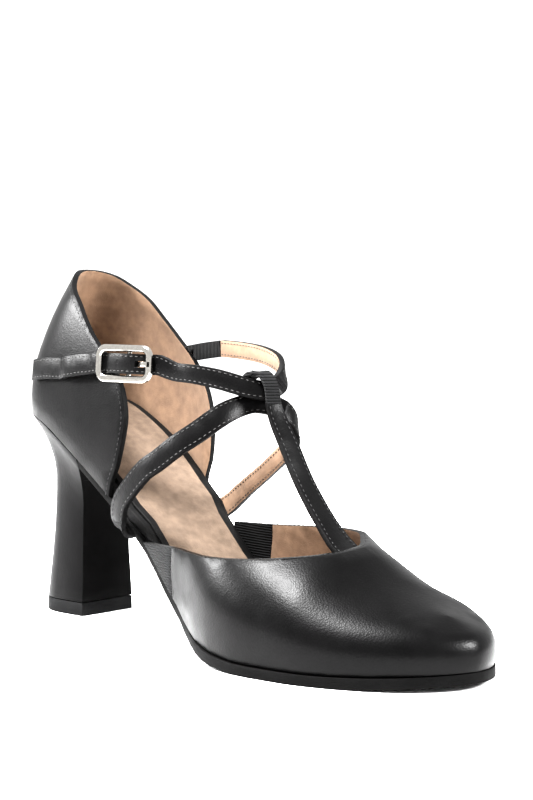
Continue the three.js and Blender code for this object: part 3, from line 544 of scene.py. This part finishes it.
def chains(edges: list[bmesh.types.BMEdge], turn: float = 50.0) -> list[Run]:
    """Orders edges into runs of vertices that break at sharp corners.

    Args:
        edges: Edges that form open or closed lines.
        turn: Angle in degrees at which a run breaks.

    Returns:
        The runs, longest first.
    """
    limit = math.cos(math.radians(turn))
    touching: dict[bmesh.types.BMVert, list[bmesh.types.BMEdge]] = {}
    for edge in edges:
        for vert in edge.verts:
            touching.setdefault(vert, []).append(edge)

    def smooth(vert: bmesh.types.BMVert) -> bool:
        """Whether two edges pass through the vertex without a corner."""
        joined = touching[vert]
        if len(joined) != 2:
            return False
        ways = [(edge.other_vert(vert).co - vert.co).normalized() for edge in joined]
        return -ways[0].dot(ways[1]) > limit

    unused = set(edges)
    runs = []
    starts = sorted(touching, key=lambda vert: (smooth(vert), vert.index))
    for start in starts:
        for first in touching[start]:
            if first not in unused:
                continue
            unused.discard(first)
            run = [start, first.other_vert(start)]
            while smooth(run[-1]):
                following = [edge for edge in touching[run[-1]] if edge in unused]
                if not following:
                    break
                unused.discard(following[0])
                run.append(following[0].other_vert(run[-1]))
            runs.append(run)
    return sorted(runs, key=run_length, reverse=True)


def border(group: Faces) -> list[bmesh.types.BMEdge]:
    """Edges between a group of faces and the rest of the mesh."""
    inside = set(group)
    edges = [edge for face in group for edge in face.edges]
    return [edge for edge in edges if any(other not in inside for other in edge.link_faces)]


def inward_line(run: Run, group: Faces, inset: float) -> list[Point]:
    """A line that follows the border of a skin, a little way in from it.

    Args:
        run: The border's vertices in order.
        group: Faces of the skin.
        inset: Distance from the border in millimetres.

    Returns:
        Places on the skin, each with the skin's outward direction.
    """
    inside = set(group)
    line = []
    for i, vert in enumerate(run):
        around = [face for face in vert.link_faces if face in inside]
        normal = sum((face.normal * face.calc_area() for face in around), Vector())
        if normal.length == 0:
            continue
        normal.normalize()
        along = (run[min(i + 1, len(run) - 1)].co - run[max(i - 1, 0)].co).normalized()
        across = normal.cross(along).normalized()
        middles = [face.calc_center_median() for face in around]
        toward = sum(middles, Vector()) / len(middles) - vert.co
        if across.dot(toward) < 0:
            across = -across
        line.append((vert.co + across * inset * MM, normal))
    return line


def even_points(line: list[Point], step: float, margin: float = 1.0) -> list[tuple[Vector, Vector, Vector]]:
    """Evenly spaced places along a line.

    Args:
        line: Places with outward directions.
        step: Spacing in millimetres.
        margin: Length left free at both ends in millimetres.

    Returns:
        Places with their outward directions and the way the line runs.
    """
    found = []
    wanted = margin * MM
    walked = 0.0
    total = sum((a[0] - b[0]).length for a, b in zip(line, line[1:]))
    for (start, normal), (end, next_normal) in zip(line, line[1:]):
        length = (end - start).length
        while length > 0 and wanted <= min(walked + length, total - margin * MM):
            blend = (wanted - walked) / length
            outward = normal.lerp(next_normal, blend).normalized()
            found.append((start.lerp(end, blend), outward, (end - start).normalized()))
            wanted += step * MM
        walked += length
    return found


@dataclass(frozen=True)
class Seam:
    """A row of stitches in millimetres."""

    step: float = 2.1
    length: float = 1.5
    width: float = 0.42
    inset: float = 1.0

    def stitch(self) -> bpy.types.Mesh:
        """One stitch that lies along x on the xy plane."""
        shape = bmesh.new()
        size = Matrix.Diagonal((self.length / 2 * MM, self.width / 2 * MM, self.width * 0.45 * MM, 1))
        bmesh.ops.create_icosphere(shape, subdivisions=1, radius=1.0, matrix=size)
        data = bpy.data.meshes.new("stitch_pattern")
        shape.to_mesh(data)
        shape.free()
        return data

    def sew(self, name: str, lines: list[list[Point]], thread: bpy.types.Material) -> None:
        """Makes one piece of all the stitches along some lines.

        Args:
            name: Name of the piece.
            lines: Places on the skin with outward directions.
            thread: Material of the thread.
        """
        mesh = bmesh.new()
        pattern = self.stitch()
        for line in lines:
            for place, normal, along in even_points(line, self.step):
                across = normal.cross(along).normalized()
                up = along.cross(across).normalized()
                stitch = pattern.copy()
                turn = Matrix((along, across, up)).transposed().to_4x4()
                stitch.transform(Matrix.Translation(place) @ turn)
                mesh.from_mesh(stitch)
                bpy.data.meshes.remove(stitch)
        bpy.data.meshes.remove(pattern)
        for face in mesh.faces:
            face.smooth = True
        make_piece(name, mesh, [thread], Slot.LEATHER)


def is_outer(group: Faces, axis: Callable[[Vector], Vector]) -> bool:
    """Whether most of a group of faces looks away from the inside of the shoe."""
    balance = 0.0
    for face in group:
        centre = face.calc_center_median()
        looks_out = face.normal.dot(centre - axis(centre)) > 0
        balance += face.calc_area() if looks_out else -face.calc_area()
    return balance > 0


def colour_side(group: Faces, outer: bool) -> None:
    """Gives a skin the material of its side."""
    for face in group:
        face.material_index = (Side.OUTER if outer else Side.INNER).value


# Where the leg leaves the foot, its middle and the foot's, in millimetres.
LEG_FLOOR, LEG_FRONT = 84, 15
LEG_MIDDLE = (-22, 4)
FOOT_LAG, FOOT_SIDE, FOOT_HEIGHT = 6, 3, 14


def foot_axis(place: Vector) -> Vector:
    """The nearest place on the middle line of the foot, leg included."""
    if place.z > LEG_FLOOR * MM and place.x < LEG_FRONT * MM:
        return Vector((LEG_MIDDLE[0] * MM, LEG_MIDDLE[1] * MM, place.z))
    return Vector((place.x - FOOT_LAG * MM, FOOT_SIDE * MM, FOOT_HEIGHT * MM))


# Sub-assemblies

# Punched holes of the ankle strap, as pixels of the photograph's frame.
STRAP_HOLES = ((91.6, 363.4), (117.6, 361.5), (158.0, 366.5), (174.5, 371.5))


@dataclass
class Strap:
    """A flat lined strap: leather outside, tan inside, dark cut edges and stitches."""

    name: str
    node: str
    finish: Finishes
    corner: float = 34.0
    rounding: float = 0.3
    seam: Seam = field(default_factory=Seam)
    thread: bpy.types.Material | None = None
    gathered_from: float = math.inf
    holes: tuple[tuple[float, float], ...] = ()
    hole_radius: float = 0.95
    least_skin: float = 60.0
    least_seam: float = 12.0
    least_width: float = 1.3

    def build(self) -> None:
        """Makes the strap's skin, its stitches and its punched holes."""
        mesh = node_copy(self.node)
        if self.holes:
            self.punch(mesh)
        groups = patches(mesh, self.corner)
        lines: list[list[Point]] = []
        for face in mesh.faces:
            face.material_index = Side.RIM.value
        for group in filter(self.is_skin, groups):
            colour_side(group, is_outer(group, foot_axis))
            for run in chains(border(group)):
                if run_length(run) > self.least_seam * MM:
                    line = inward_line(run, group, self.seam.inset)
                    lines.append([point for point in line if point[0].z < self.gathered_from])
        for face in mesh.faces:
            if face.calc_center_median().z > self.gathered_from:
                face.material_index = Side.GATHERED.value
        self.seam.sew(f"{self.name}_stitches", lines, self.thread or self.finish.pale_thread)
        materials = [self.finish.strap, self.finish.lining, self.finish.edge, self.finish.gathers]
        piece = make_piece(self.name, mesh, materials, Slot.LEATHER, self.node)
        soften(piece, self.rounding)

    def punch(self, strap: bmesh.types.BMesh) -> None:
        """Makes the punched holes, each where a ray of the photograph's camera meets the strap.

        Args:
            strap: The strap's shape.
        """
        tree = BVHTree.FromBMesh(strap)
        mesh = bmesh.new()
        for pixel in self.holes:
            place, normal, _, _ = tree.ray_cast(*PHOTO_CAMERA.ray(pixel))
            if place is None:
                continue
            turn = normal.to_track_quat("Z", "Y").to_matrix().to_4x4()
            made = bmesh.ops.create_cone(
                mesh,
                cap_ends=True,
                segments=20,
                radius1=self.hole_radius * MM,
                radius2=0.9 * self.hole_radius * MM,
                depth=0.16 * MM,
                matrix=Matrix.Translation(place) @ turn,
            )
            sides = {face for vert in made["verts"] for face in vert.link_faces}
            caps = [face for face in sides if face.normal.dot(normal) > 0.9]
            bmesh.ops.inset_region(mesh, faces=caps, thickness=0.25 * MM, depth=-0.1 * MM)
        make_piece(f"{self.name}_holes", mesh, [self.finish.edge], Slot.LEATHER)

    def is_skin(self, group: Faces) -> bool:
        """Whether a group of faces is a wide side of the strap and not one of its cut edges."""
        area = sum(face.calc_area() for face in group)
        rim = sum(edge.calc_length() for edge in border(group))
        return area > self.least_skin * MM * MM and area / rim > self.least_width * MM


@dataclass
class Wall:
    """A thin wall of the upper: leather outside, lining inside and a dark rim."""

    name: str
    node: str
    finish: Finishes
    corner: float = 40.0
    rounding: float = 0.35
    seam: Seam = field(default_factory=lambda: Seam(inset=1.7, step=2.0, length=1.4, width=0.36))
    toe: tuple[float, float, float] | None = None
    toe_reach: float = 16.0
    toe_passes: int = 30
    least_seam: float = 25.0

    def __post_init__(self) -> None:
        """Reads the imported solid's box once."""
        self.low, self.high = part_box(self.node)

    def build(self) -> None:
        """Makes the wall's skins and the stitches along its edges."""
        mesh = node_copy(self.node)
        if self.toe is not None:
            self.ease_toe(mesh)
        groups = patches(mesh, self.corner)
        for face in mesh.faces:
            face.material_index = Side.RIM.value
        lines: list[list[Point]] = []
        for group in groups[:2]:
            outer = is_outer(group, self.axis)
            colour_side(group, outer)
            for run in chains(border(group)):
                if outer and run_length(run) > self.least_seam * MM and self.is_topline(run):
                    lines.append(inward_line(run, group, self.seam.inset))
        self.seam.sew(f"{self.name}_stitches", lines, self.finish.dark_thread)
        materials = [self.finish.upper, self.finish.lining, self.finish.edge]
        piece = make_piece(self.name, mesh, materials, Slot.LEATHER, self.node)
        soften(piece, self.rounding)

    def ease_toe(self, mesh: bmesh.types.BMesh) -> None:
        """Smooths the wall round the apex of the toe, as leather pulled over a last is.

        Args:
            mesh: The wall.
        """
        middle = Vector(self.toe) * MM
        near = [vert for vert in mesh.verts if (vert.co - middle).length < self.toe_reach * MM]
        every_axis = {"use_axis_x": True, "use_axis_y": True, "use_axis_z": True}
        for _ in range(self.toe_passes):
            bmesh.ops.smooth_vert(mesh, verts=near, factor=0.5, **every_axis)
        mesh.normal_update()

    def axis(self, place: Vector) -> Vector:
        """Middle of the wall's hollow near a place."""
        middle = (self.low + self.high) / 2
        return Vector((min(place.x, self.high.x - 30 * MM), middle.y, middle.z - 4 * MM))

    def is_topline(self, run: Run) -> bool:
        """Whether a border runs along the opening and not along the sole."""
        top = max(vert.co.z for vert in run)
        return top > self.low.z + 0.55 * (self.high.z - self.low.z)


@dataclass
class Carried:
    """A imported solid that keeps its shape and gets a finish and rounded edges."""

    node: str
    name: str
    material: bpy.types.Material
    slot: Slot
    rounding: float = 0.3
    corner: float = 38.0
    segments: int = 2

    def build(self) -> None:
        """Makes the dressed copy of the solid."""
        piece = make_piece(self.name, node_copy(self.node), [self.material], self.slot, self.node)
        soften(piece, self.rounding, self.corner, self.segments)


@dataclass
class Sock:
    """Suede sock inside a margin of the board's black cover."""

    finish: Finishes
    margin: float = 2.6
    rounding: float = 0.2

    def build(self) -> None:
        """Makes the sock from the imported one, with its rim as covered board."""
        mesh = node_copy("sock")
        top = [face for face in mesh.faces if face.normal.z > 0.5]
        for face in mesh.faces:
            face.material_index = 1
        margin = self.margin * MM
        bmesh.ops.inset_region(mesh, faces=top, thickness=margin, use_even_offset=True, use_boundary=True)
        for face in top:
            face.material_index = 0
        piece = make_piece("sock_skin", mesh, [self.finish.sock, self.finish.board], Slot.SOCK, "sock")
        soften(piece, self.rounding)


@dataclass
class Heel:
    """Covered block heel with a flat matt breast."""

    finish: Finishes
    rounding: float = 0.5

    def build(self) -> None:
        """Makes the heel and gives its breast a matt cover."""
        mesh = node_copy("heel")
        for face in mesh.faces:
            face.material_index = 1 if face.normal.x > 0.8 else 0
        piece = make_piece("heel_cover", mesh, [self.finish.heel, self.finish.breast], Slot.LEATHER, "heel")
        soften(piece, self.rounding, 40)


@dataclass
class Shoe:
    """The whole right shoe."""

    finish: Finishes

    def build(self) -> None:
        """Builds every sub-assembly in order, from the floor up."""
        finish = self.finish
        Carried("outsole", "outsole_skin", finish.sole, Slot.SOLE, 0.4).build()
        Carried("insole_board", "board_skin", finish.board, Slot.BOARD, 0.3).build()
        Sock(finish).build()
        Heel(finish).build()
        Carried("heel_tip", "tip_skin", finish.tip, Slot.TIP, 0.35).build()
        Wall("vamp_skin", "vamp", finish, toe=(95, 9, 24)).build()
        Wall("quarter_skin", "quarter", finish).build()
        Carried("gore_outer", "gore_outer_skin", finish.gore, Slot.ELASTIC, 0.3).build()
        Carried("gore_inner", "gore_inner_skin", finish.gore, Slot.ELASTIC, 0.3).build()
        Strap("t_strap_skin", "t_strap", finish, thread=finish.dark_thread, gathered_from=0.0885).build()
        Strap("cross_strap_skin", "cross_strap", finish).build()
        Strap("ankle_strap_skin", "ankle_strap", finish, holes=STRAP_HOLES).build()
        Carried("strap_elastic", "band_skin", finish.band, Slot.ELASTIC, 0.25).build()
        Carried("buckle_frame", "buckle_ring", finish.chrome, Slot.CHROME, 0.55, 30, 4).build()
        Carried("buckle_prong", "buckle_tongue", finish.chrome, Slot.CHROME, 0.3, 30, 3).build()
        Carried("buckle_tab", "buckle_keeper", finish.strap, Slot.LEATHER, 0.3).build()


# Studio


@dataclass(frozen=True)
class Lamp:
    """A soft studio light that looks at the shoe."""

    name: str
    place: tuple[float, float, float]
    size: float
    power: float
    aim: tuple[float, float, float] = (0.0, 0.0, 0.05)

    def build(self) -> None:
        """Makes the area light."""
        data = bpy.data.lights.new(self.name, "AREA")
        data.shape = "DISK"
        data.size = self.size
        data.energy = self.power
        lamp = bpy.data.objects.new(self.name, data)
        lamp.location = self.place
        lamp.rotation_euler = (Vector(self.aim) - Vector(self.place)).to_track_quat("-Z", "Y").to_euler()
        bpy.context.scene.collection.objects.link(lamp)


@dataclass(frozen=True)
class Studio:
    """White floor, pale surroundings and soft lights."""

    floor_size: float = 40.0
    white: float = 0.93
    world: float = 1.12
    lamps: tuple[Lamp, ...] = (
        Lamp("top_left", (-0.05, -0.3, 0.75), 0.28, 24),
        Lamp("front_right", (0.8, 0.35, 0.5), 0.25, 16),
        Lamp("back_left", (-0.65, -0.5, 0.45), 0.3, 14),
    )

    def build(self) -> None:
        """Makes the floor, the surroundings and the lights."""
        mesh = bmesh.new()
        bmesh.ops.create_grid(mesh, x_segments=1, y_segments=1, size=self.floor_size / 2)
        data = bpy.data.meshes.new("studio_floor")
        mesh.to_mesh(data)
        mesh.free()
        floor = bpy.data.objects.new("studio_floor", data)
        bpy.context.scene.collection.objects.link(floor)
        paper = Nodes("studio_paper")
        paper.set(Base_Color=(self.white, self.white, self.white, 1), Roughness=0.9, Specular_IOR_Level=0.1)
        data.materials.append(paper.material)
        world = bpy.data.worlds.new("studio")
        world.use_nodes = True
        back = world.node_tree.nodes["Background"]
        back.inputs["Color"].default_value = (1, 1, 1, 1)
        back.inputs["Strength"].default_value = self.world
        bpy.context.scene.world = world
        for lamp in self.lamps:
            lamp.build()
        bpy.context.scene.view_settings.view_transform = "Standard"
        bpy.context.scene.view_settings.look = "High Contrast"


def main() -> None:
    """Builds the shoe, the camera and the studio."""
    logging.basicConfig(level=logging.INFO, format="%(message)s")
    PHOTO_CAMERA.build()
    Studio().build()
    Shoe(Finishes()).build()


if __name__ == "__main__":
    main()
